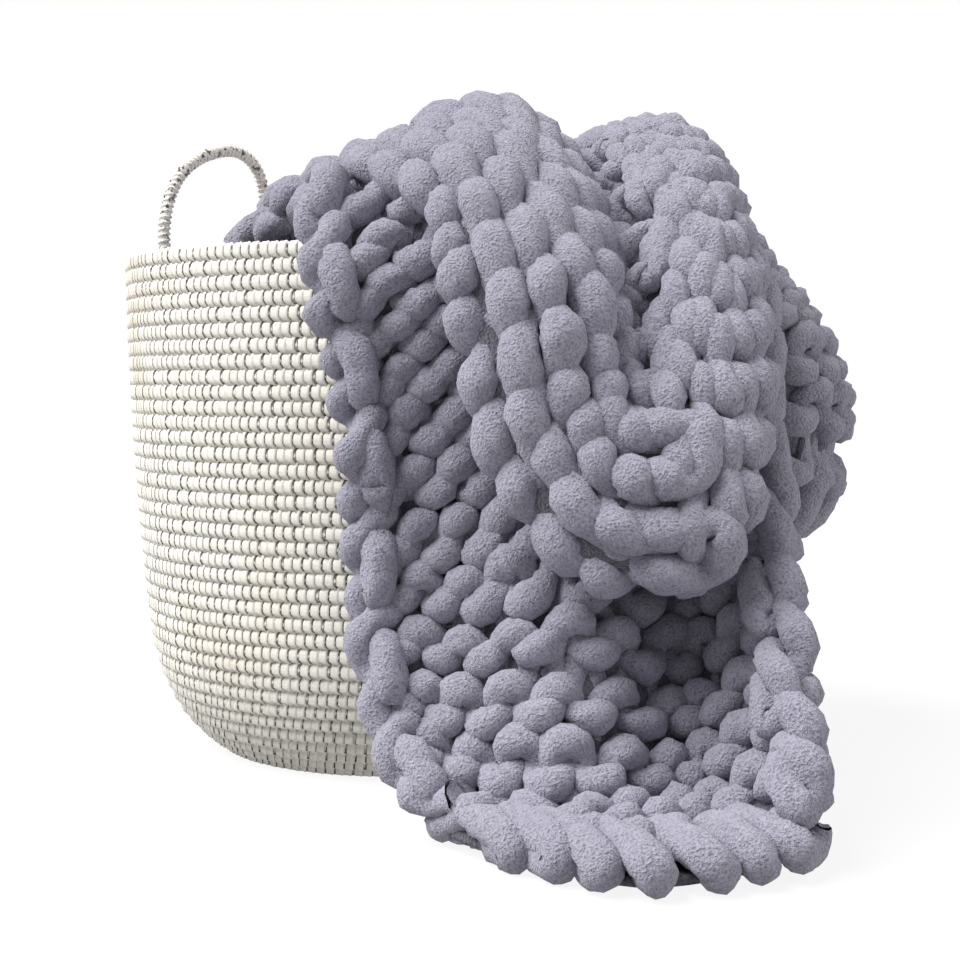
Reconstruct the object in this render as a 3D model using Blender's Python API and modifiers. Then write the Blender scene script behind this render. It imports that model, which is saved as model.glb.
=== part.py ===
# Chunky knit blanket draped over a coiled storage basket.
# Metres, +Z up. The origin is the centre of the basket's base, on the floor, and -Y is the front.
import math
from collections import namedtuple

import bmesh
import bpy
import numpy as np

# Basket: a coil of grass bound with strip, open at the top, on a flat base.
basket_height = 0.409
basket_wall = 0.010
base_thickness = 0.011
rim_radius = 0.230
base_radius = 0.140
inner_corner = 0.020  # how far the flat inside of the base stops short of the wall
inner_lift = 0.004  # the inner face of the wall against its outer face, along the curve
turned_steps = 40

# Outer wall of the basket, from the rim down: height above the floor and radius.
WallRing = namedtuple("WallRing", "height radius")
wall_rings = [
    WallRing(0.3550, 0.2290),
    WallRing(0.3000, 0.2270),
    WallRing(0.2500, 0.2245),
    WallRing(0.1900, 0.2205),
    WallRing(0.1300, 0.2150),
    WallRing(0.0900, 0.2095),
    WallRing(0.0600, 0.2000),
    WallRing(0.0350, 0.1870),
    WallRing(0.0140, 0.1670),
    WallRing(0.0035, 0.1555),
]

# Handle: one stiff bound cord that stands on the back left of the rim, its ends inside the wall.
handle_cord_radius = 0.0045
handle_foot_angles = (math.radians(168), math.radians(130))
handle_gap = 0.0028  # clear of the wall, which leans outwards below the rim

# Its arch: side is in half spans from the middle, towards the first foot; rise is above the rim.
ArchPoint = namedtuple("ArchPoint", "side rise")
arch_points = [
    ArchPoint(1.00, -0.036),
    ArchPoint(1.00, -0.004),
    ArchPoint(1.08, 0.024),
    ArchPoint(1.00, 0.055),
    ArchPoint(0.76, 0.082),
    ArchPoint(0.35, 0.101),
    ArchPoint(-0.20, 0.112),
    ArchPoint(-0.60, 0.109),
    ArchPoint(-0.88, 0.092),
    ArchPoint(-0.98, 0.064),
    ArchPoint(-1.03, 0.030),
    ArchPoint(-1.00, -0.004),
    ArchPoint(-1.00, -0.036),
]

# Blanket: one strip of thick knit, ten stitches wide, from its front hem to its side hem.
knit_thickness = 0.028
stitch_columns = 10
points_per_column = 3
course_points = 92
column_valley = 0.62
selvedge_thinness = 0.50
hem_thinness = 0.62

# Each fold is a section across the strip, from the left (later the front) selvedge to the other.
Fold = namedtuple("Fold", "name edge quarter middle three_quarter far_edge")
folds = [
    # The panel: front hem on the floor, then up the front of the basket.
    Fold("front hem", (0.050, -0.368, 0.013), (0.106, -0.420, 0.012), (0.162, -0.461, 0.010),
         (0.224, -0.444, 0.010), (0.279, -0.411, 0.012)),
    Fold("on the floor", (0.014, -0.330, 0.030), (0.074, -0.347, 0.018), (0.148, -0.380, 0.015),
         (0.216, -0.350, 0.015), (0.283, -0.396, 0.068)),
    Fold("foot", (-0.012, -0.289, 0.090), (0.052, -0.304, 0.074), (0.128, -0.328, 0.080),
         (0.218, -0.278, 0.064), (0.284, -0.366, 0.122)),
    Fold("low panel", (-0.025, -0.262, 0.160), (0.050, -0.276, 0.150), (0.130, -0.292, 0.160),
         (0.222, -0.228, 0.142), (0.284, -0.322, 0.180)),
    Fold("middle panel", (-0.029, -0.258, 0.238), (0.042, -0.260, 0.235), (0.122, -0.246, 0.240),
         (0.210, -0.196, 0.235), (0.284, -0.262, 0.238)),
    Fold("upper panel", (-0.043, -0.253, 0.315), (0.036, -0.256, 0.320), (0.120, -0.232, 0.325),
         (0.202, -0.172, 0.325), (0.279, -0.185, 0.312)),
    Fold("below the rim", (-0.074, -0.249, 0.384), (0.032, -0.258, 0.386), (0.124, -0.229, 0.388),
         (0.206, -0.160, 0.390), (0.272, -0.112, 0.390)),
    Fold("over the rim", (-0.086, -0.212, 0.432), (0.028, -0.226, 0.433), (0.118, -0.195, 0.433),
         (0.189, -0.127, 0.433), (0.236, -0.060, 0.434)),
    # The part stuffed inside: down the wall, round, and up on the left.
    Fold("inside the rim", (-0.078, -0.166, 0.398), (0.024, -0.181, 0.392), (0.095, -0.154, 0.392),
         (0.146, -0.102, 0.394), (0.186, -0.042, 0.408)),
    Fold("down inside", (-0.076, -0.148, 0.330), (0.018, -0.164, 0.300), (0.088, -0.134, 0.285),
         (0.132, -0.078, 0.285), (0.155, -0.005, 0.300)),
    Fold("lowest turn", (-0.094, -0.106, 0.290), (-0.012, -0.100, 0.235), (0.035, -0.050, 0.200),
         (0.070, 0.020, 0.190), (0.090, 0.095, 0.200)),
    Fold("rising inside", (-0.120, -0.090, 0.335), (-0.112, -0.040, 0.282), (-0.090, 0.020, 0.252),
         (-0.052, 0.085, 0.238), (-0.010, 0.145, 0.242)),
    Fold("left inside", (-0.120, -0.104, 0.396), (-0.155, -0.050, 0.360), (-0.158, 0.010, 0.342),
         (-0.140, 0.075, 0.328), (-0.102, 0.130, 0.324)),
    # The second pass: across the mouth of the basket, its front half hanging as a swag.
    Fold("left shoulder", (-0.076, -0.150, 0.442), (-0.108, -0.070, 0.430), (-0.116, 0.005, 0.412),
         (-0.102, 0.080, 0.396), (-0.072, 0.145, 0.380)),
    Fold("left slope", (-0.014, -0.218, 0.467), (-0.016, -0.132, 0.467), (-0.014, -0.045, 0.460),
         (-0.008, 0.040, 0.444), (0.002, 0.120, 0.418)),
    Fold("left crest", (0.030, -0.290, 0.424), (0.048, -0.200, 0.489), (0.052, -0.108, 0.506),
         (0.056, -0.018, 0.492), (0.062, 0.075, 0.464)),
    Fold("left leg", (0.040, -0.310, 0.335), (0.130, -0.312, 0.372), (0.127, -0.212, 0.466),
         (0.116, -0.108, 0.483), (0.107, -0.003, 0.475)),
    Fold("swag left", (0.070, -0.326, 0.222), (0.148, -0.325, 0.302), (0.153, -0.246, 0.424),
         (0.137, -0.146, 0.476), (0.126, -0.037, 0.480)),
    Fold("swag bottom", (0.146, -0.345, 0.162), (0.168, -0.340, 0.268), (0.174, -0.268, 0.390),
         (0.156, -0.169, 0.473), (0.143, -0.057, 0.483)),
    Fold("swag right", (0.232, -0.338, 0.168), (0.204, -0.331, 0.278), (0.195, -0.260, 0.400),
         (0.174, -0.170, 0.480), (0.158, -0.054, 0.486)),
    Fold("right leg", (0.262, -0.305, 0.268), (0.230, -0.296, 0.345), (0.212, -0.232, 0.430),
         (0.190, -0.147, 0.488), (0.168, -0.038, 0.490)),
    Fold("right leg top", (0.260, -0.235, 0.362), (0.240, -0.215, 0.430), (0.220, -0.168, 0.476),
         (0.196, -0.106, 0.496), (0.174, -0.008, 0.491)),
    Fold("right crest", (0.254, -0.155, 0.424), (0.240, -0.125, 0.472), (0.219, -0.086, 0.497),
         (0.199, -0.048, 0.499), (0.181, 0.030, 0.486)),
    # The end that turns and falls over the right side of the rim.
    Fold("right turn", (0.253, -0.090, 0.455), (0.245, -0.047, 0.474), (0.226, -0.005, 0.486),
         (0.205, 0.034, 0.483), (0.188, 0.088, 0.467)),
    Fold("over the side", (0.268, -0.054, 0.438), (0.258, 0.006, 0.454), (0.247, 0.060, 0.458),
         (0.232, 0.112, 0.453), (0.208, 0.158, 0.438)),
    Fold("side shoulder", (0.290, -0.086, 0.386), (0.310, -0.020, 0.392), (0.304, 0.050, 0.392),
         (0.284, 0.120, 0.384), (0.252, 0.182, 0.372)),
    Fold("side belly", (0.306, -0.122, 0.312), (0.356, -0.052, 0.304), (0.362, 0.030, 0.300),
         (0.338, 0.108, 0.300), (0.298, 0.176, 0.300)),
    Fold("below the belly", (0.306, -0.128, 0.250), (0.354, -0.058, 0.240), (0.358, 0.024, 0.236),
         (0.332, 0.102, 0.238), (0.292, 0.170, 0.242)),
    Fold("side hem", (0.292, -0.118, 0.202), (0.330, -0.050, 0.188), (0.332, 0.026, 0.182),
         (0.308, 0.100, 0.186), (0.270, 0.160, 0.194)),
]


def clearScene():
    for obj in list(bpy.data.objects):
        bpy.data.objects.remove(obj, do_unlink=True)
    for group in list(bpy.data.collections):
        bpy.data.collections.remove(group)


def makeMaterial(name, color, roughness):
    material = bpy.data.materials.new(name)
    material.use_nodes = True
    shader = material.node_tree.nodes["Principled BSDF"]
    shader.inputs["Base Color"].default_value = (*color, 1.0)
    shader.inputs["Roughness"].default_value = roughness
    shader.inputs["Metallic"].default_value = 0.0
    return material


def addObject(name, data, material):
    obj = bpy.data.objects.new(name, data)
    group.objects.link(obj)
    data.materials.append(material)
    return obj


def through(knots, values, at):
    """A smooth curve through the values, one at each knot, read at the given places."""
    values = np.asarray(values, float)
    steps = np.diff(knots)
    shape = (-1,) + (1,) * (values.ndim - 1)
    slopes = np.diff(values, axis=0) / steps.reshape(shape)
    tangents = np.empty_like(values)
    before = steps[:-1].reshape(shape)
    after = steps[1:].reshape(shape)
    tangents[1:-1] = (slopes[:-1] * after + slopes[1:] * before) / (before + after)
    tangents[0] = 1.5 * slopes[0] - 0.5 * tangents[1]
    tangents[-1] = 1.5 * slopes[-1] - 0.5 * tangents[-2]
    span = np.clip(np.searchsorted(knots, at, side="right") - 1, 0, len(knots) - 2)
    width = steps[span].reshape(shape)
    s = ((at - knots[span]) / steps[span]).reshape(shape)
    return (
        (1 + 2 * s) * (1 - s) ** 2 * values[span]
        + s * (1 - s) ** 2 * width * tangents[span]
        + s * s * (3 - 2 * s) * values[span + 1]
        + s * s * (s - 1) * width * tangents[span + 1]
    )


def makeBasket(material):
    """Turned wall and base, hollow and open at the top."""
    lip = basket_wall / 2
    profile = [(0.0, base_thickness)]
    foot = wall_rings[-2]
    profile.append((foot.radius - basket_wall - inner_corner, base_thickness))
    for ring in reversed(wall_rings[:-2]):
        profile.append((ring.radius - basket_wall, ring.height + inner_lift))
    profile.append((rim_radius - basket_wall, basket_height - lip))
    for turn in (150, 120, 90, 60, 30):
        angle = math.radians(turn)
        radius = rim_radius - lip + lip * math.cos(angle)
        profile.append((radius, basket_height - lip + lip * math.sin(angle)))
    profile.append((rim_radius, basket_height - lip))
    profile += [(ring.radius, ring.height) for ring in wall_rings]
    profile += [(base_radius, 0.0), (0.0, 0.0)]
    mesh = bpy.data.meshes.new("basket")
    points = [(radius, 0.0, height) for radius, height in profile]
    mesh.from_pydata(points, [(i, i + 1) for i in range(len(points) - 1)], [])
    basket = addObject("basket", mesh, material)
    screw = basket.modifiers.new("turned", "SCREW")
    screw.steps = turned_steps
    screw.render_steps = turned_steps
    screw.use_merge_vertices = True
    screw.merge_threshold = 0.0001
    screw.use_smooth_shade = True
    return basket


def makeHandle(name, foot_angles, material):
    """A bound cord: up from inside the wall, over in an arch, and down inside the wall again."""
    inside = rim_radius - basket_wall - handle_cord_radius - handle_gap
    feet = [np.array([inside * math.cos(a), inside * math.sin(a)]) for a in foot_angles]
    middle = (feet[0] + feet[1]) / 2
    half = (feet[0] - feet[1]) / 2
    control = [(*(middle + point.side * half), basket_height + point.rise) for point in arch_points]
    knots = np.arange(len(control), dtype=float)
    route = through(knots, control, np.linspace(0, len(control) - 1, 40))
    curve = bpy.data.curves.new(name, "CURVE")
    curve.dimensions = "3D"
    curve.bevel_depth = handle_cord_radius
    curve.bevel_resolution = 2
    curve.use_fill_caps = True
    spline = curve.splines.new("POLY")
    spline.points.add(len(route) - 1)
    for point, place in zip(spline.points, route):
        point.co = (*place, 1.0)
    return addObject(name, curve, material)


def foldedCloth(across, along):
    """The middle of the cloth: across runs from selvedge to selvedge, along from hem to hem, both 0 to 1."""
    table = np.array([fold[1:] for fold in folds])
    lengths = np.linalg.norm(np.diff(table, axis=0), axis=2).max(axis=1)
    knots = np.concatenate([[0.0], np.cumsum(lengths)])
    rows = through(knots, table, along * knots[-1])
    columns = np.linspace(0, 1, table.shape[1])
    return through(columns, np.swapaxes(rows, 0, 1), across)


def makeBlanket(material):
    """The strip as a grid on its folds, thickened on both sides, with a rib for each stitch column."""
    cells_across = stitch_columns * points_per_column
    bpy.ops.mesh.primitive_grid_add(
        x_subdivisions=cells_across, y_subdivisions=course_points, size=2, location=(0, 0, 0)
    )
    sheet = bpy.context.object
    sheet.name = "blanket folds"
    vertices = sheet.data.vertices
    flat = np.empty(len(vertices) * 3)
    vertices.foreach_get("co", flat)
    flat = flat.reshape(-1, 3)
    column = np.rint((flat[:, 0] + 1) / 2 * cells_across).astype(int)
    course = np.rint((flat[:, 1] + 1) / 2 * course_points).astype(int)
    across = np.linspace(0, 1, cells_across + 1)
    along = np.linspace(0, 1, course_points + 1)
    surface = foldedCloth(across, along)
    vertices.foreach_set("co", surface[column, course].ravel())
    relief = sheet.vertex_groups.new(name="relief")
    for index in range(len(vertices)):
        weight = column_valley if column[index] % points_per_column == 0 else 1.0
        if column[index] in (0, cells_across):
            weight = selvedge_thinness
        elif course[index] in (0, course_points):
            weight = hem_thinness
        relief.add([index], weight, "REPLACE")
    solidify = sheet.modifiers.new("thick knit", "SOLIDIFY")
    solidify.thickness = knit_thickness
    solidify.offset = 0.0
    solidify.vertex_group = relief.name
    thick = bpy.data.meshes.new_from_object(sheet.evaluated_get(bpy.context.evaluated_depsgraph_get()))
    bpy.data.objects.remove(sheet, do_unlink=True)
    thick.name = "blanket"
    shape = bmesh.new()
    shape.from_mesh(thick)
    for vertex in shape.verts:
        vertex.co.z = max(vertex.co.z, 0.0)
    bmesh.ops.recalc_face_normals(shape, faces=shape.faces)
    shape.to_mesh(thick)
    shape.free()
    thick.materials.clear()
    thick.shade_smooth()
    return addObject("blanket", thick, material)


clearScene()
group = bpy.data.collections.new("knit blanket on basket")
bpy.context.scene.collection.children.link(group)
strip = makeMaterial("bound grass", (0.76, 0.71, 0.63), 0.55)
knit = makeMaterial("chenille knit", (0.36, 0.34, 0.41), 0.95)
makeBasket(strip)
makeHandle("handle", handle_foot_angles, strip)
makeBlanket(knit)
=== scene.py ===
import math

import bpy
import numpy as np
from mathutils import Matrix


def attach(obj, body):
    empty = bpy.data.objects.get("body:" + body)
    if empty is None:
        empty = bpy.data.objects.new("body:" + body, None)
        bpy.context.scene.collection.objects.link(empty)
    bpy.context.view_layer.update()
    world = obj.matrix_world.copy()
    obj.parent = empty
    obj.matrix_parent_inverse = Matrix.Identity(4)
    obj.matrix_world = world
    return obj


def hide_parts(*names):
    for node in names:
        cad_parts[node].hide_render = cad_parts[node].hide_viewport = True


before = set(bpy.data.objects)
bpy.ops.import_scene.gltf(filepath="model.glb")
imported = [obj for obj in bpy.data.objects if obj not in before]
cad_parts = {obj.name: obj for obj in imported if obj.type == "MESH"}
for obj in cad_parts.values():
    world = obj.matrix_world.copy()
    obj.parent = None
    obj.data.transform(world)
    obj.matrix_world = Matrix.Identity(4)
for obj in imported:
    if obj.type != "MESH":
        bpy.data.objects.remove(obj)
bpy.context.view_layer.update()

random = np.random.default_rng(23)


def report(stage):
    print("scene:", stage, flush=True)


def deselectAll():
    bpy.ops.object.select_all(action="DESELECT")


def finishPiece(piece, name, material):
    piece.name = name
    piece.data.name = name
    piece.data.materials.clear()
    piece.data.materials.append(material)
    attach(piece, "root")
    return piece


# camera, floor and light
studio = {
    "cameraPlace": (0.068, -1.407, 0.307),
    "cameraTilt": 86.582,  # degrees from straight down
    "lens": 61.03,
    "skyStrength": 0.32,
    "skyColor": (1.0, 1.0, 1.0),
    "keyFrom": (-0.72, -0.24, 0.95),
    "keyStrength": 5.0,
    "keySpread": 50,  # degrees, for soft shadows
    "fillPlace": (2.2, -0.9, 0.9),
    "fillSize": 1.6,
    "fillPower": 16,
    "floorColor": 0.12,
    "floorGlow": 0.88,  # as the camera sees it
    "floorBounce": 0.38,  # as the cloth and the basket are lit by it
}

deselectAll()
bpy.ops.object.camera_add(
    location=studio["cameraPlace"], rotation=(math.radians(studio["cameraTilt"]), 0, 0)
)
camera = bpy.context.object
camera.name = "frontCamera"
camera.data.sensor_width = 36
camera.data.lens = studio["lens"]
bpy.context.scene.camera = camera


def addSoftLight(name, place, size, power):
    bpy.ops.object.light_add(type="AREA", location=place)
    light = bpy.context.object
    light.name = name
    light.data.size = size
    light.data.energy = power
    aim = np.array([0.07, -0.1, 0.25]) - np.array(place)
    light.rotation_euler = (
        math.acos(-aim[2] / np.linalg.norm(aim)), 0, math.atan2(aim[0], -aim[1]) + math.pi
    )
    return light


bpy.ops.object.light_add(type="SUN", location=(0, 0, 2))
keyLight = bpy.context.object
keyLight.name = "keyLight"
keyLight.data.energy = studio["keyStrength"]
keyLight.data.angle = math.radians(studio["keySpread"])
keyX, keyY, keyZ = studio["keyFrom"]
keyLight.rotation_euler = (math.atan2(math.hypot(keyX, keyY), keyZ), 0, math.atan2(keyX, -keyY))
addSoftLight("fillLight", studio["fillPlace"], studio["fillSize"], studio["fillPower"])

world = bpy.data.worlds.new("studio white")
bpy.context.scene.world = world
world.use_nodes = True
skyNodes, skyLinks = world.node_tree.nodes, world.node_tree.links
sky = skyNodes["Background"]
sky.inputs["Color"].default_value = (*studio["skyColor"], 1)
sky.inputs["Strength"].default_value = studio["skyStrength"]
backdrop = skyNodes.new("ShaderNodeBackground")  # what the camera sees is plain white
backdrop.inputs["Color"].default_value = (1, 1, 1, 1)
seen = skyNodes.new("ShaderNodeLightPath")
choose = skyNodes.new("ShaderNodeMixShader")
skyLinks.new(seen.outputs["Is Camera Ray"], choose.inputs["Fac"])
skyLinks.new(sky.outputs["Background"], choose.inputs[1])
skyLinks.new(backdrop.outputs["Background"], choose.inputs[2])
skyLinks.new(choose.outputs["Shader"], skyNodes["World Output"].inputs["Surface"])
bpy.context.scene.view_settings.view_transform = "Standard"

bpy.ops.mesh.primitive_plane_add(size=14, location=(0, 0, 0))
floor = bpy.context.object
floor.name = "floor"
paper = bpy.data.materials.new("white floor")
paper.use_nodes = True
paperShader = paper.node_tree.nodes["Principled BSDF"]
paperShader.inputs["Base Color"].default_value = (*[studio["floorColor"]] * 3, 1)
paperShader.inputs["Roughness"].default_value = 0.9
paperShader.inputs["Specular IOR Level"].default_value = 0.0
paperShader.inputs["Emission Color"].default_value = (1, 1, 1, 1)
paperGlow = paper.node_tree.nodes.new("ShaderNodeMath")
paperGlow.operation = "MULTIPLY_ADD"
paperGlow.inputs[1].default_value = studio["floorGlow"] - studio["floorBounce"]
paperGlow.inputs[2].default_value = studio["floorBounce"]
paperRay = paper.node_tree.nodes.new("ShaderNodeLightPath")
paper.node_tree.links.new(paperRay.outputs["Is Camera Ray"], paperGlow.inputs[0])
paper.node_tree.links.new(paperGlow.outputs["Value"], paperShader.inputs["Emission Strength"])
floor.data.materials.append(paper)
report("camera, floor and light")


# materials
def newMaterial(name):
    material = bpy.data.materials.new(name)
    material.use_nodes = True
    return material, material.node_tree.nodes, material.node_tree.links


def addNoise(nodes, links, place, scale, detail=2.0):
    noise = nodes.new("ShaderNodeTexNoise")
    noise.inputs["Scale"].default_value = scale
    noise.inputs["Detail"].default_value = detail
    links.new(place, noise.inputs["Vector"])
    return noise.outputs["Fac"]


def addRamp(nodes, links, value, stops):
    ramp = nodes.new("ShaderNodeValToRGB")
    marks = ramp.color_ramp.elements
    while len(marks) < len(stops):
        marks.new(0.5)
    for mark, (position, color) in zip(marks, stops):
        mark.position = position
        mark.color = (*color, 1)
    links.new(value, ramp.inputs["Fac"])
    return ramp.outputs["Color"]


def addMix(nodes, links, factor, first, second, blend="MIX"):
    mix = nodes.new("ShaderNodeMix")
    mix.data_type = "RGBA"
    mix.blend_type = blend
    for socket, value in ((mix.inputs[0], factor), (mix.inputs[6], first), (mix.inputs[7], second)):
        if isinstance(value, float):
            socket.default_value = value
        elif isinstance(value, tuple):
            socket.default_value = (*value, 1)
        else:
            links.new(value, socket)
    return mix.outputs[2]


def addBump(nodes, links, height, strength, distance, under=None):
    bump = nodes.new("ShaderNodeBump")
    bump.inputs["Strength"].default_value = strength
    bump.inputs["Distance"].default_value = distance
    links.new(height, bump.inputs["Height"])
    if under is not None:
        links.new(under, bump.inputs["Normal"])
    return bump.outputs["Normal"]


chenille = {
    # deep, pile and tip run from the pile's hollows, in painted shade, to its tips, in painted highlight
    "deep": (0.200, 0.192, 0.240),
    "pile": (0.345, 0.332, 0.405),
    "tip": (0.460, 0.445, 0.530),
    "pileScale": 540,
    "tuftScale": 150,
    "driftScale": 9,
    "sheen": 0.45,
}


# a factor below one darkens every colour of the yarn, which gives a copy of it in painted shade
def makeChenille(name, paintedShadeFactor=1.0):
    material, nodes, links = newMaterial(name)
    shader = nodes["Principled BSDF"]
    place = nodes.new("ShaderNodeTexCoord").outputs["Object"]
    pile = addNoise(nodes, links, place, chenille["pileScale"], 3.0)
    tufts = addNoise(nodes, links, place, chenille["tuftScale"], 2.0)
    drift = addNoise(nodes, links, place, chenille["driftScale"], 2.0)
    shades = [tuple(c * paintedShadeFactor for c in chenille[key]) for key in ("deep", "pile", "tip")]
    # the colour follows the pile noise that is also the bump: fibre speckle, with painted shade in the hollows and
    # painted highlight on the tips
    color = addRamp(
        nodes, links, pile, [(0.28, shades[0]), (0.46, shades[1]), (0.72, shades[2])]
    )
    # darker where the tuft noise, which is also the soft bump, sinks: painted shade in the tufts' hollows
    tuftShade = addRamp(nodes, links, tufts, [(0.35, (0.91, 0.91, 0.91)), (0.60, (1, 1, 1))])
    color = addMix(nodes, links, 1.0, color, tuftShade, "MULTIPLY")
    tint = addRamp(nodes, links, drift, [(0.35, (0.93, 0.93, 0.95)), (0.65, (1, 1, 1))])
    color = addMix(nodes, links, 1.0, color, tint, "MULTIPLY")
    links.new(color, shader.inputs["Base Color"])
    shader.inputs["Roughness"].default_value = 0.95
    shader.inputs["Specular IOR Level"].default_value = 0.1
    shader.inputs["Sheen Weight"].default_value = chenille["sheen"]
    shader.inputs["Sheen Roughness"].default_value = 0.55
    shader.inputs["Sheen Tint"].default_value = (0.90, 0.88, 1.0, 1)
    soft = addBump(nodes, links, tufts, 0.45, 0.0026)
    links.new(addBump(nodes, links, pile, 1.0, 0.0034, soft), shader.inputs["Normal"])
    return material


grass = {
    "cream": (0.90, 0.875, 0.82),
    "field": (0.78, 0.75, 0.69),
    "straw": (0.66, 0.55, 0.42),
    # near-black colour of the painted shade in the wraps' seams and under each coil
    "dark": (0.035, 0.030, 0.024),
    "fibreScale": 260,
    "toneScale": 7,
}


def makeGrass(name, pattern):
    material, nodes, links = newMaterial(name)
    shader = nodes["Principled BSDF"]
    coordinates = nodes.new("ShaderNodeTexCoord")
    place = coordinates.outputs["Object"]
    stretched = nodes.new("ShaderNodeMapping")
    stretched.inputs["Scale"].default_value = (1, 1, 5)
    links.new(place, stretched.inputs["Vector"])
    fibre = addNoise(nodes, links, stretched.outputs["Vector"], grass["fibreScale"], 2.0)
    drift = addNoise(nodes, links, place, grass["toneScale"], 3.0)
    spots = addNoise(nodes, links, place, 90, 2.0)
    color = addRamp(nodes, links, fibre, [(0.34, grass["field"]), (0.62, grass["cream"])])
    warm = addRamp(nodes, links, drift, [(0.50, (0, 0, 0)), (0.72, (0.45, 0.45, 0.45))])
    color = addMix(nodes, links, warm, color, grass["straw"])
    if pattern == "wrap":
        split = nodes.new("ShaderNodeSeparateXYZ")
        links.new(coordinates.outputs["UV"], split.inputs["Vector"])
        across, along = split.outputs["X"], split.outputs["Y"]
        field = addRamp(
            nodes, links, across,
            [(0.16, (0.90, 0.90, 0.88)), (0.60, (0.92, 0.92, 0.90)), (0.68, (1.0, 1.0, 0.98)), (1.0, (1.0, 1.0, 0.98))],
        )
        color = addMix(nodes, links, 1.0, color, field, "MULTIPLY")
        # painted shade in the sunk seam at each wrap's left edge, and along its underside in the groove between coil
        # rows
        line = addRamp(nodes, links, across, [(0.00, (1, 1, 1)), (0.13, (1, 1, 1)), (0.19, (0, 0, 0))])
        foot = addRamp(nodes, links, along, [(0.08, (1, 1, 1)), (0.17, (0, 0, 0))])
        mark = addMix(nodes, links, 1.0, line, foot, "LIGHTEN")
        # the painted shade is weaker in random patches
        patchyShade = addRamp(nodes, links, spots, [(0.34, (0.65, 0.65, 0.65)), (0.52, (1, 1, 1))])
        mark = addMix(nodes, links, 1.0, mark, patchyShade, "MULTIPLY")
        color = addMix(nodes, links, mark, color, grass["dark"])
    elif pattern == "fleck":
        specks = addNoise(nodes, links, place, 210, 1.0)
        fleck = addRamp(nodes, links, specks, [(0.59, (0, 0, 0)), (0.64, (0.9, 0.9, 0.9))])
        color = addMix(nodes, links, fleck, color, (0.10, 0.08, 0.06))
    links.new(color, shader.inputs["Base Color"])
    shader.inputs["Roughness"].default_value = 0.55
    shader.inputs["Specular IOR Level"].default_value = 0.35
    links.new(addBump(nodes, links, fibre, 0.35, 0.0006), shader.inputs["Normal"])
    return material


knitMaterial = makeChenille("chenille yarn")
# the core is the same yarn at 0.30 of its colour: painted shade on the back yarn seen through the gaps between stitches
shadedCoreMaterial = makeChenille("chenille core in painted shade", 0.30)
wrapMaterial = makeGrass("bound grass strip", "wrap")
coilMaterial = makeGrass("grass coil", "plain")
cordMaterial = makeGrass("flecked cord", "fleck")
report("materials")


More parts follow.
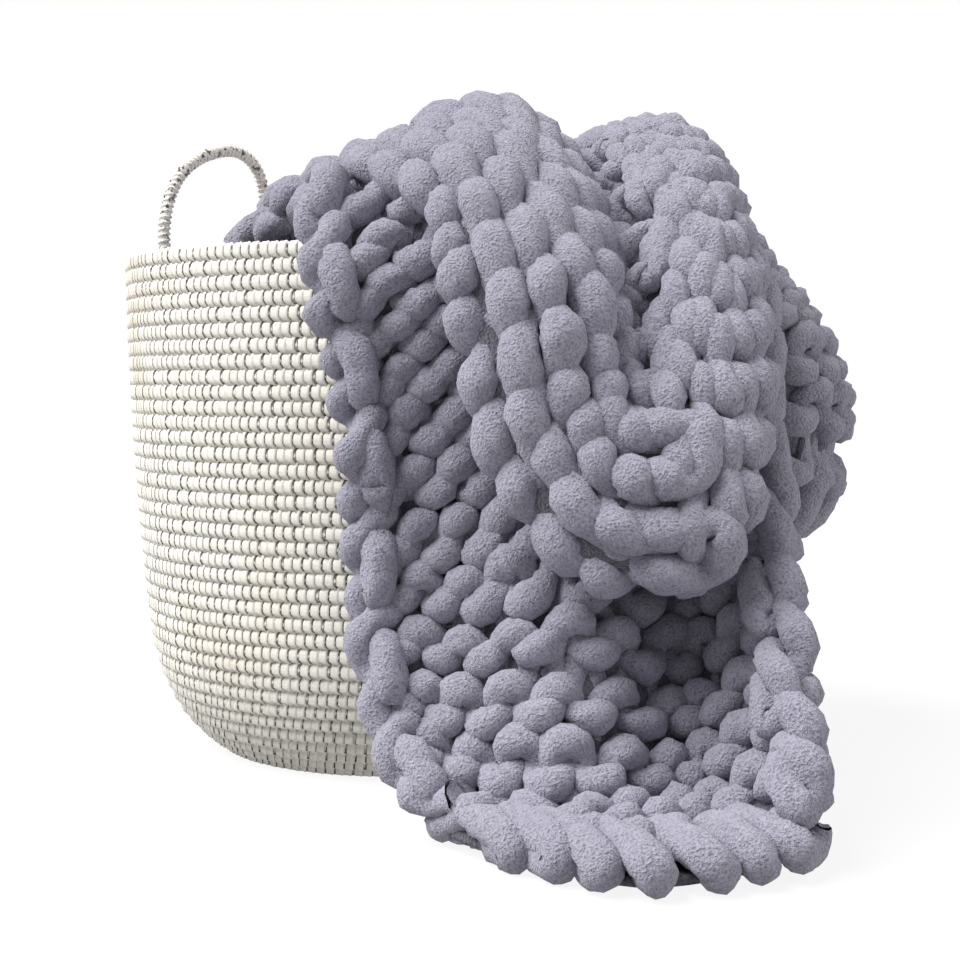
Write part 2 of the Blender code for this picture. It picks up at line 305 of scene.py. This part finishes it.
# the cloth's folds, the same numbers as the solid
folds = np.array([
    [(0.050, -0.368, 0.013), (0.106, -0.420, 0.012), (0.162, -0.461, 0.010), (0.224, -0.444, 0.010), (0.279, -0.411, 0.012)],  # front hem
    [(0.014, -0.330, 0.030), (0.074, -0.347, 0.018), (0.148, -0.380, 0.015), (0.216, -0.350, 0.015), (0.283, -0.396, 0.068)],
    [(-0.012, -0.289, 0.090), (0.052, -0.304, 0.074), (0.128, -0.328, 0.080), (0.218, -0.278, 0.064), (0.284, -0.366, 0.122)],
    [(-0.025, -0.262, 0.160), (0.050, -0.276, 0.150), (0.130, -0.292, 0.160), (0.222, -0.228, 0.142), (0.284, -0.322, 0.180)],
    [(-0.029, -0.258, 0.238), (0.042, -0.260, 0.235), (0.122, -0.246, 0.240), (0.210, -0.196, 0.235), (0.284, -0.262, 0.238)],
    [(-0.043, -0.253, 0.315), (0.036, -0.256, 0.320), (0.120, -0.232, 0.325), (0.202, -0.172, 0.325), (0.279, -0.185, 0.312)],
    [(-0.074, -0.249, 0.384), (0.032, -0.258, 0.386), (0.124, -0.229, 0.388), (0.206, -0.160, 0.390), (0.272, -0.112, 0.390)],
    [(-0.086, -0.212, 0.432), (0.028, -0.226, 0.433), (0.118, -0.195, 0.433), (0.189, -0.127, 0.433), (0.236, -0.060, 0.434)],  # over the rim
    [(-0.078, -0.166, 0.398), (0.024, -0.181, 0.392), (0.095, -0.154, 0.392), (0.146, -0.102, 0.394), (0.186, -0.042, 0.408)],
    [(-0.076, -0.148, 0.330), (0.018, -0.164, 0.300), (0.088, -0.134, 0.285), (0.132, -0.078, 0.285), (0.155, -0.005, 0.300)],
    [(-0.094, -0.106, 0.290), (-0.012, -0.100, 0.235), (0.035, -0.050, 0.200), (0.070, 0.020, 0.190), (0.090, 0.095, 0.200)],
    [(-0.120, -0.090, 0.335), (-0.112, -0.040, 0.282), (-0.090, 0.020, 0.252), (-0.052, 0.085, 0.238), (-0.010, 0.145, 0.242)],
    [(-0.120, -0.104, 0.396), (-0.155, -0.050, 0.360), (-0.158, 0.010, 0.342), (-0.140, 0.075, 0.328), (-0.102, 0.130, 0.324)],
    [(-0.076, -0.150, 0.442), (-0.108, -0.070, 0.430), (-0.116, 0.005, 0.412), (-0.102, 0.080, 0.396), (-0.072, 0.145, 0.380)],  # left shoulder
    [(-0.014, -0.218, 0.467), (-0.016, -0.132, 0.467), (-0.014, -0.045, 0.460), (-0.008, 0.040, 0.444), (0.002, 0.120, 0.418)],
    [(0.030, -0.290, 0.424), (0.048, -0.200, 0.489), (0.052, -0.108, 0.506), (0.056, -0.018, 0.492), (0.062, 0.075, 0.464)],
    [(0.040, -0.310, 0.335), (0.130, -0.312, 0.372), (0.127, -0.212, 0.466), (0.116, -0.108, 0.483), (0.107, -0.003, 0.475)],
    [(0.070, -0.326, 0.222), (0.148, -0.325, 0.302), (0.153, -0.246, 0.424), (0.137, -0.146, 0.476), (0.126, -0.037, 0.480)],
    [(0.146, -0.345, 0.162), (0.168, -0.340, 0.268), (0.174, -0.268, 0.390), (0.156, -0.169, 0.473), (0.143, -0.057, 0.483)],  # swag bottom
    [(0.232, -0.338, 0.168), (0.204, -0.331, 0.278), (0.195, -0.260, 0.400), (0.174, -0.170, 0.480), (0.158, -0.054, 0.486)],
    [(0.262, -0.305, 0.268), (0.230, -0.296, 0.345), (0.212, -0.232, 0.430), (0.190, -0.147, 0.488), (0.168, -0.038, 0.490)],
    [(0.260, -0.235, 0.362), (0.240, -0.215, 0.430), (0.220, -0.168, 0.476), (0.196, -0.106, 0.496), (0.174, -0.008, 0.491)],
    [(0.254, -0.155, 0.424), (0.240, -0.125, 0.472), (0.219, -0.086, 0.497), (0.199, -0.048, 0.499), (0.181, 0.030, 0.486)],
    [(0.253, -0.090, 0.455), (0.245, -0.047, 0.474), (0.226, -0.005, 0.486), (0.205, 0.034, 0.483), (0.188, 0.088, 0.467)],
    [(0.268, -0.054, 0.438), (0.258, 0.006, 0.454), (0.247, 0.060, 0.458), (0.232, 0.112, 0.453), (0.208, 0.158, 0.438)],
    [(0.290, -0.086, 0.386), (0.310, -0.020, 0.392), (0.304, 0.050, 0.392), (0.284, 0.120, 0.384), (0.252, 0.182, 0.372)],
    [(0.306, -0.122, 0.312), (0.356, -0.052, 0.304), (0.362, 0.030, 0.300), (0.338, 0.108, 0.300), (0.298, 0.176, 0.300)],
    [(0.306, -0.128, 0.250), (0.354, -0.058, 0.240), (0.358, 0.024, 0.236), (0.332, 0.102, 0.238), (0.292, 0.170, 0.242)],
    [(0.292, -0.118, 0.202), (0.330, -0.050, 0.188), (0.332, 0.026, 0.182), (0.308, 0.100, 0.186), (0.270, 0.160, 0.194)],  # side hem
])


def smoothThrough(knots, values, at):
    values = np.asarray(values, float)
    steps = np.diff(knots)
    shape = (-1,) + (1,) * (values.ndim - 1)
    slopes = np.diff(values, axis=0) / steps.reshape(shape)
    tangents = np.empty_like(values)
    before, after = steps[:-1].reshape(shape), steps[1:].reshape(shape)
    tangents[1:-1] = (slopes[:-1] * after + slopes[1:] * before) / (before + after)
    tangents[0] = 1.5 * slopes[0] - 0.5 * tangents[1]
    tangents[-1] = 1.5 * slopes[-1] - 0.5 * tangents[-2]
    span = np.clip(np.searchsorted(knots, at, side="right") - 1, 0, len(knots) - 2)
    width = steps[span].reshape(shape)
    s = ((at - knots[span]) / steps[span]).reshape(shape)
    return (
        (1 + 2 * s) * (1 - s) ** 2 * values[span]
        + s * (1 - s) ** 2 * width * tangents[span]
        + s * s * (3 - 2 * s) * values[span + 1]
        + s * s * (s - 1) * width * tangents[span + 1]
    )


foldLengths = np.linalg.norm(np.diff(folds, axis=0), axis=2).max(axis=1)
foldMarks = np.concatenate([[0.0], np.cumsum(foldLengths)]) / foldLengths.sum()


def foldedCloth(across, along):
    rows = smoothThrough(foldMarks, folds, along)
    columns = np.linspace(0, 1, folds.shape[1])
    return np.swapaxes(smoothThrough(columns, np.swapaxes(rows, 0, 1), across), 0, 1)


valley = {
    "line": [(0.112, -0.100, 0.486), (0.150, -0.240, 0.428), (0.176, -0.310, 0.318)],
    "spread": 0.024,
    "sink": (0.0, 0.016, -0.018),
    "fromFold": 15,
    "toFold": 20,
}


def sinkValley(points, along):
    # the crease that runs down between the ropes of yarn of the front swag
    line = smoothThrough(np.arange(3.0), np.array(valley["line"]), np.linspace(0, 2, 15))
    inSwag = (along > foldMarks[valley["fromFold"]]) & (along < foldMarks[valley["toFold"]])
    away = np.linalg.norm(points[inSwag][:, :, None] - line, axis=3).min(axis=2, keepdims=True)
    points[inSwag] += np.exp(-(away / valley["spread"]) ** 2) * np.array(valley["sink"])


alongCloth = np.linspace(0, 1, 1381)
clothPoints = foldedCloth(np.linspace(0, 1, 81), alongCloth)
sinkValley(clothPoints, alongCloth)
clothAcross = np.gradient(clothPoints, axis=1)
clothAlong = np.gradient(clothPoints, axis=0)
clothPitch = np.linalg.norm(clothAlong, axis=2, keepdims=True) * (clothPoints.shape[0] - 1)
clothAcross /= np.linalg.norm(clothAcross, axis=2, keepdims=True)
clothNormals = np.cross(clothAcross, clothAlong)
clothNormals /= np.linalg.norm(clothNormals, axis=2, keepdims=True)


def readCloth(grid, across, along):
    a = np.clip(across, 0, 1) * (grid.shape[1] - 1)
    b = np.clip(along, 0, 1) * (grid.shape[0] - 1)
    i = np.minimum(a.astype(int), grid.shape[1] - 2)
    j = np.minimum(b.astype(int), grid.shape[0] - 2)
    s, t = (a - i)[:, None], (b - j)[:, None]
    low = grid[j, i] * (1 - s) + grid[j, i + 1] * s
    high = grid[j + 1, i] * (1 - s) + grid[j + 1, i + 1] * s
    return low * (1 - t) + high * t


# the knitted yarn
knit = {
    "wales": 10,
    "courses": 61,
    "yarnRadius": 0.0108,
    "pinch": 0.15,  # the yarn is thinner where it passes another
    "depth": 0.0082,
    "floorClear": 0.0185,
    "edgeRoll": 0.8,  # of a stitch that rolls up at each selvedge
    "rollRadius": 0.016,
    "rollTurn": 2.0,
    # from which course on; how far in the left and the right selvedge lie, of the cloth's width
    "margins": [(0, 0.115, 0.050), (13, 0.115, 0.055), (17, 0.092, 0.092), (61, 0.092, 0.092)],
    "hemMargin": 1.25,  # courses left for the hem's own row of loops
    "purlFrom": 44,  # the course from which the balls face out on the other side
    "wander": 0.06,
    "fullPitch": 0.030,  # below this course height the yarn is squeezed thinner
    "turnShares": np.array([0.2, 0.4, 0.6, 0.8]),
    "turnOut": 0.24,  # of a stitch
    # from which course on; stitches in the width; how low the legs lie foremost; a loop's bulge in stitches, its reach
    # in courses, its slant and lean; how deep its head and foot lie; how thick its yarn is
    "faces": [
        (0, 10, 0.0, 0.195, 0.76, 0.05, 0.0, 1.1, 1.1, 1.0),
        (5, 10, -0.1, 0.195, 0.76, 0.17, 0.0, 1.1, 1.0, 1.0),
        (15, 10, 1.1, 0.195, 0.76, 0.05, 0.07, 1.0, 1.0, 1.0),
        (31, 7, 0.5, 0.11, 0.84, 0.08, 0.11, 1.15, 1.15, 1.2),
        (44, 10, -0.1, 0.195, 0.76, 0.08, 0.0, 1.15, 1.15, 1.0),
    ],
    # name, from and to which course, points to a stitch, steps of the bevel
    "pieces": [("panelYarn", 0, 15, 32, 7), ("insideYarn", 15, 27, 16, 3), ("swagYarn", 27, 44, 30, 7),
               ("sideYarn", 44, 61, 26, 6)],
}
walesWide, coursesLong = knit["wales"], knit["courses"]
stitchNoise = random.normal(0, 1, (4, coursesLong, walesWide))
courseSide = np.ones(coursesLong + 1)
courseSide[knit["purlFrom"]:] = -1


def placeOnCloth(x, y, z):
    # x in stitches, y in courses, z in metres off the middle; the selvedges roll towards the normal
    roll = knit["edgeRoll"]
    marks, lefts, rights = np.array(knit["margins"]).T
    left, right = np.interp(y, marks, lefts), np.interp(y, marks, rights)
    inner = np.clip(x, roll, walesWide - roll)
    across = left + (inner - roll) / (walesWide - 2 * roll) * (1 - left - right)
    along = (y + knit["hemMargin"]) / (coursesLong + 2 * knit["hemMargin"])
    point = readCloth(clothPoints, across, along)
    sideways = readCloth(clothAcross, across, along)
    normal = readCloth(clothNormals, across, along)
    normal /= np.linalg.norm(normal, axis=1, keepdims=True)
    above = point[:, 2] - knit["floorClear"]
    point[:, 2] = knit["floorClear"] + np.where(above > 0.02, above, 0.01 + 0.01 * np.tanh((above - 0.01) / 0.01))
    past = x - inner
    angle = np.minimum(np.abs(past) / roll, 1.15) * knit["rollTurn"]
    outward = sideways * np.sign(past)[:, None]
    radius = knit["rollRadius"]
    point = point + outward * (radius * np.sin(angle))[:, None]
    point = point + normal * (radius * (1 - np.cos(angle)))[:, None]
    turned = normal * np.cos(angle)[:, None] - outward * np.sin(angle)[:, None]
    return point + turned * z[:, None]


def yarnRoute(firstCourse, lastCourse, perStitch):
    phase = np.linspace(0, 2 * math.pi * walesWide, walesWide * perStitch + 1)
    stitch = phase / (2 * math.pi)
    centres = np.arange(walesWide) + 0.5
    rows = []
    for course in range(firstCourse, lastCourse):
        face = [face for face in knit["faces"] if face[0] <= course][-1]
        _, wales, overlap, bulge, reach, slant, lean, headDepth, footDepth, swell = face
        shiftX, shiftY, grow, lift = (np.interp(stitch, centres, layer[course]) for layer in stitchNoise)
        side, nextSide = courseSide[course], courseSide[course + 1]
        loop = phase * wales / walesWide
        x = stitch + (bulge * np.sin(2 * loop) + lean * np.cos(loop)) * walesWide / wales + knit["wander"] * shiftX
        y = course + 0.5 - reach * np.cos(loop) * (1 + 0.05 * grow)
        y = y + slant * np.sin(2 * loop) + knit["wander"] * shiftY
        swing = 2 * loop + overlap * np.sin(loop)
        share = (1 + np.cos(swing)) / 2
        end = np.where(np.cos(loop) < 0, nextSide * headDepth, side * footDepth)
        z = knit["depth"] * (end * share - side * (1 - share)) + 0.0012 * lift
        radius = swell * (1 + knit["pinch"] * np.cos(2 * swing) + 0.05 * grow)
        pitch = readCloth(clothPitch, stitch / walesWide, np.full_like(stitch, (course + 0.5) / coursesLong))
        radius = radius * np.clip(pitch[:, 0] / coursesLong / knit["fullPitch"], 0.55, 1.0) ** 0.5
        order = slice(None) if course % 2 == 0 else slice(None, None, -1)
        row = np.stack([x, y, z, radius])[:, order]
        if rows:  # the yarn turns round at the selvedge
            turns = knit["turnShares"]
            link = rows[-1][:, -1:] * (1 - turns) + row[:, :1] * turns
            link[0] += knit["turnOut"] * np.sin(math.pi * turns) * (1 if course % 2 else -1)
            rows.append(link)
        rows.append(row)
    x, y, z, thick = np.concatenate(rows, axis=1)
    return placeOnCloth(x, y, z), thick


def addYarn(name, routes, radius, bevelSteps, material, smooth=True):
    deselectAll()
    bpy.ops.curve.primitive_nurbs_path_add(location=(0, 0, 0))
    curve = bpy.context.object
    curve.data.splines.clear()
    curve.data.bevel_depth = radius
    curve.data.bevel_resolution = bevelSteps
    curve.data.use_fill_caps = True
    for points, thick in routes:
        spline = curve.data.splines.new("POLY")
        spline.points.add(len(points) - 1)
        spline.points.foreach_set("co", np.column_stack([points, np.ones(len(points))]).ravel())
        spline.points.foreach_set("radius", np.asarray(thick, float))
        spline.use_smooth = smooth
    bpy.ops.object.convert(target="MESH")
    return finishPiece(bpy.context.object, name, material)


def restOnFloor(points, radius):
    points[:, 2] = np.maximum(points[:, 2], radius)
    return points


def fluffUp(piece, lumps):
    for label, size, strength in lumps:
        texture = bpy.data.textures.new(label, "CLOUDS")
        texture.noise_scale = size
        texture.noise_depth = 1
        modifier = piece.modifiers.new(label, "DISPLACE")
        modifier.texture = texture
        modifier.texture_coords = "LOCAL"
        modifier.strength = strength
        modifier.mid_level = 0.5
        bpy.context.view_layer.objects.active = piece
        bpy.ops.object.modifier_apply(modifier=modifier.name)
    mesh = piece.data
    places = np.empty(len(mesh.vertices) * 3)
    mesh.vertices.foreach_get("co", places)
    places = places.reshape(-1, 3)
    places[:, 2] = np.maximum(places[:, 2], 0.0)
    mesh.vertices.foreach_set("co", places.ravel())
    mesh.update()


fluff = [("soft lumps", 0.020, 0.0045), ("tufts", 0.007, 0.0038), ("small tufts", 0.0036, 0.0022)]
for name, first, last, perStitch, bevelSteps in knit["pieces"]:
    points, thick = yarnRoute(first, last, perStitch)
    points = restOnFloor(points, knit["yarnRadius"])
    yarn = addYarn(name, [(points, thick)], knit["yarnRadius"], bevelSteps, knitMaterial)
    fluffUp(yarn, fluff)
    report(f"{name}, {len(yarn.data.polygons)} faces")

hemLoops = {
    "radius": 0.0130,
    "turns": 7,
    "wide": 0.66,  # of a course, either way from the hem's line
    "sweep": 0.20,  # of a stitch, so that each loop lies aslant
    "deep": 0.0085,
    "perTurn": 20,
    "wander": 0.15,
}


def hemRoute(along, direction):
    # a spiral of yarn around the hem, which shows as a row of slanting loops
    steps = hemLoops["turns"] * hemLoops["perTurn"] + 1
    share = np.linspace(0, 1, steps)
    loops = np.arange(hemLoops["turns"] + 1)
    shift = np.interp(share * hemLoops["turns"], loops, random.normal(0, hemLoops["wander"], len(loops)))
    turn = 2 * math.pi * (hemLoops["turns"] * share + shift)
    x = 0.45 + (walesWide - 0.9) * share - hemLoops["sweep"] * np.cos(turn)
    y = along + direction * hemLoops["wide"] * np.cos(turn) * (1 + shift) + shift
    z = hemLoops["deep"] * np.sin(turn)
    thick = np.minimum(1, 0.3 + 3 * hemLoops["turns"] * np.minimum(share, 1 - share))  # the ends are woven in
    return placeOnCloth(x, y, z), thick


hemRoutes = []
for along, direction in ((-0.62, 1), (coursesLong + 0.62, -1)):
    points, thick = hemRoute(along, direction)
    hemRoutes.append((restOnFloor(points, hemLoops["radius"]), thick))
hem = addYarn("hemYarn", hemRoutes, hemLoops["radius"], 5, knitMaterial)
fluffUp(hem, fluff)
report("hem loops")

core = {
    "cellsAcross": 20,
    "cellsAlong": 140,
    "thickness": 0.006,
    "inset": 0.06,
    "flatWidth": 0.34,
    "flatLength": 2.15,
}
deselectAll()
bpy.ops.mesh.primitive_grid_add(
    x_subdivisions=core["cellsAcross"], y_subdivisions=core["cellsAlong"], size=2, location=(0, 0, 0)
)
clothCore = bpy.context.object
flat = np.empty(len(clothCore.data.vertices) * 3)
clothCore.data.vertices.foreach_get("co", flat)
flat = (flat.reshape(-1, 3) + 1) / 2
spread = core["inset"] + flat[:, 0] * (1 - 2 * core["inset"])
corePoints = readCloth(clothPoints, spread, 0.004 + 0.992 * flat[:, 1])
corePoints = restOnFloor(corePoints, core["thickness"])
clothCore.data.vertices.foreach_set("co", corePoints.ravel())
thicken = clothCore.modifiers.new("core", "SOLIDIFY")
thicken.thickness = core["thickness"]
thicken.offset = 0
bpy.ops.object.modifier_apply(modifier=thicken.name)
clothCore.data.shade_smooth()
# the core wears the yarn in painted shade
finishPiece(clothCore, "clothCore", shadedCoreMaterial)
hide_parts("blanket")
report("knit")


# basket
basket = {
    "pitch": 0.0116,
    "coilRadius": 0.0054,
    "flatness": 0.16,  # the wraps stand nearer to a flat wall than a round coil would
    "wall": [(0.225, 0.4036), (0.224, 0.355), (0.222, 0.300), (0.2195, 0.250), (0.2155, 0.190), (0.210, 0.130),
             (0.2045, 0.090), (0.195, 0.060), (0.1825, 0.0370), (0.1640, 0.0170), (0.1500, 0.0062)],
    "baseRings": [0.1380, 0.1264, 0.1148, 0.1032, 0.0916, 0.0800, 0.0684, 0.0568, 0.0452, 0.0336, 0.0220, 0.0104],
    "wrapPitch": 0.0079,
    "wrapHeights": [-0.0003, 0.0007, 0.0008, 0.0014, 0.0006],
    "wrapSplits": [0.0, 0.16, 0.62, 0.82, 1.0],
    "wrapAngles": [-88, -62, -20, 35, 86],  # round the coil, from its underside up
    "wrapShifts": [0.0042, 0.0019, -0.0002, 0.0001, 0.0013],  # sideways, so that each wrap hooks round below
}
wall = np.array(basket["wall"])
wallLengths = np.concatenate([[0], np.cumsum(np.linalg.norm(np.diff(wall, axis=0), axis=1))])
rowCount = int(round(wallLengths[-1] / basket["pitch"])) + 1
rowPlaces = np.linspace(0, wallLengths[-1], rowCount)
rowRadius, rowHeight = smoothThrough(wallLengths, wall, rowPlaces).T
report(f"basket, {rowCount} rows up the wall")

coils = []
for radius, height in list(zip(rowRadius, rowHeight)) + [(r, basket["coilRadius"] + 0.0005) for r in basket["baseRings"]]:
    deselectAll()
    bpy.ops.mesh.primitive_torus_add(
        location=(0, 0, height), major_radius=radius, minor_radius=basket["coilRadius"] + 0.0004,
        major_segments=72 if radius > 0.14 else 40, minor_segments=8,
    )
    coils.append(bpy.context.object)
deselectAll()
for coil in coils:
    coil.select_set(True)
bpy.context.view_layer.objects.active = coils[0]
bpy.ops.object.join()
basketCoils = bpy.context.object
bpy.ops.object.transform_apply(location=True, rotation=True, scale=True)
basketCoils.data.shade_smooth()
finishPiece(basketCoils, "basketCoils", coilMaterial)
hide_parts("basket")


def wrapRows(rows):
    # each wrap is a strip bent round the outside of the coil, its left edge sunk and its right side ribbed
    around, bend = np.radians(basket["wrapAngles"]), np.array(basket["wrapShifts"])
    splits, heights = np.array(basket["wrapSplits"]), np.array(basket["wrapHeights"])
    allPoints, allFaces, allUv = [], [], []
    start = 0
    cells = [
        (r * 5 + c, r * 5 + c + 1, (r + 1) * 5 + c + 1, (r + 1) * 5 + c) for r in range(4) for c in range(4)
    ]
    cells = np.array(cells)
    uv = np.array([(splits[c], r / 4) for r in range(5) for c in range(5)])
    for row in rows:
        radius, height = rowRadius[row], rowHeight[row]
        before, after = max(row - 1, 0), min(row + 1, rowCount - 1)
        lean = math.atan2(rowRadius[before] - rowRadius[after], rowHeight[before] - rowHeight[after])
        count = int(round(2 * math.pi * (radius + basket["coilRadius"]) / basket["wrapPitch"]))
        width = 2 * math.pi * (radius + basket["coilRadius"]) / count
        starts = (np.arange(count) + 0.5 * (row % 2) + random.uniform(-0.12, 0.12, count)) * width
        swell = random.uniform(0.85, 1.2, count)
        s = starts[:, None, None] + splits[None, None, :] * width + bend[None, :, None]
        rho = basket["coilRadius"] + heights[None, None, :] * swell[:, None, None] + 0 * s
        tilt = around[None, :, None] - lean
        out = radius + rho * np.maximum(np.cos(tilt), 0.01) ** basket["flatness"]
        angle = s / (radius + basket["coilRadius"])
        points = np.stack([out * np.cos(angle), out * np.sin(angle), height + rho * np.sin(tilt)], axis=-1)
        allPoints.append(points.reshape(-1, 3))
        allFaces.append((cells[None] + 25 * np.arange(count)[:, None, None]).reshape(-1, 4) + start)
        allUv.append(np.tile(uv[cells].reshape(-1, 2), (count, 1)))
        start += 25 * count
    return np.concatenate(allPoints), np.concatenate(allFaces), np.concatenate(allUv)


def addFaces(name, points, faces, uv, material):
    mesh = bpy.data.meshes.new(name)
    mesh.from_pydata(points.tolist(), [], faces.tolist())
    mesh.uv_layers.new(name="strip").data.foreach_set("uv", uv.ravel())
    mesh.shade_smooth()
    piece = bpy.data.objects.new(name, mesh)
    bpy.context.scene.collection.objects.link(piece)
    return finishPiece(piece, name, material)


half = rowCount // 2
for name, rows in (("upperWraps", range(0, half)), ("lowerWraps", range(half, rowCount))):
    points, faces, uv = wrapRows(rows)
    points[:, 2] = np.maximum(points[:, 2], 0.0)
    addFaces(name, points, faces, uv, wrapMaterial)
report("basket wraps")

handle = {
    "footAngles": (math.radians(168), math.radians(130)),
    "footRadius": 0.2127,
    "rim": 0.409,
    "arch": [(1, -0.036), (1, -0.004), (1.08, 0.024), (1, 0.055), (0.76, 0.082), (0.35, 0.101), (-0.2, 0.112),
             (-0.6, 0.109), (-0.88, 0.092), (-0.98, 0.064), (-1.03, 0.030), (-1, -0.004), (-1, -0.036)],
    "cordRadius": 0.0044,
    "bindRadius": 0.0015,
    "bindPitch": 0.0052,
}
feet = [handle["footRadius"] * np.array([math.cos(a), math.sin(a)]) for a in handle["footAngles"]]
middle, halfSpan = (feet[0] + feet[1]) / 2, (feet[0] - feet[1]) / 2
control = np.array([(*(middle + side * halfSpan), handle["rim"] + rise) for side, rise in handle["arch"]])
route = smoothThrough(np.arange(len(control), dtype=float), control, np.linspace(0, len(control) - 1, 120))
cord = addYarn("handleCord", [(route, np.ones(len(route)))], handle["cordRadius"], 3, cordMaterial)
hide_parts("handle")
routeLength = np.concatenate([[0], np.cumsum(np.linalg.norm(np.diff(route, axis=0), axis=1))])
turns = routeLength[-1] / handle["bindPitch"]
share = np.linspace(0.005, 0.995, int(turns * 12))
centre = np.column_stack([np.interp(share * routeLength[-1], routeLength, route[:, axis]) for axis in range(3)])
ahead = np.gradient(centre, axis=0)
ahead /= np.linalg.norm(ahead, axis=1, keepdims=True)
flatSide = np.cross(np.append(halfSpan, 0), (0, 0, 1))
flatSide /= np.linalg.norm(flatSide)
other = np.cross(ahead, flatSide)
twist = (2 * math.pi * turns * share)[:, None]
binding = centre + handle["cordRadius"] * (np.cos(twist) * flatSide + np.sin(twist) * other)
addYarn("handleBinding", [(binding, np.ones(len(binding)))], handle["bindRadius"], 1, cordMaterial)
report("handle")
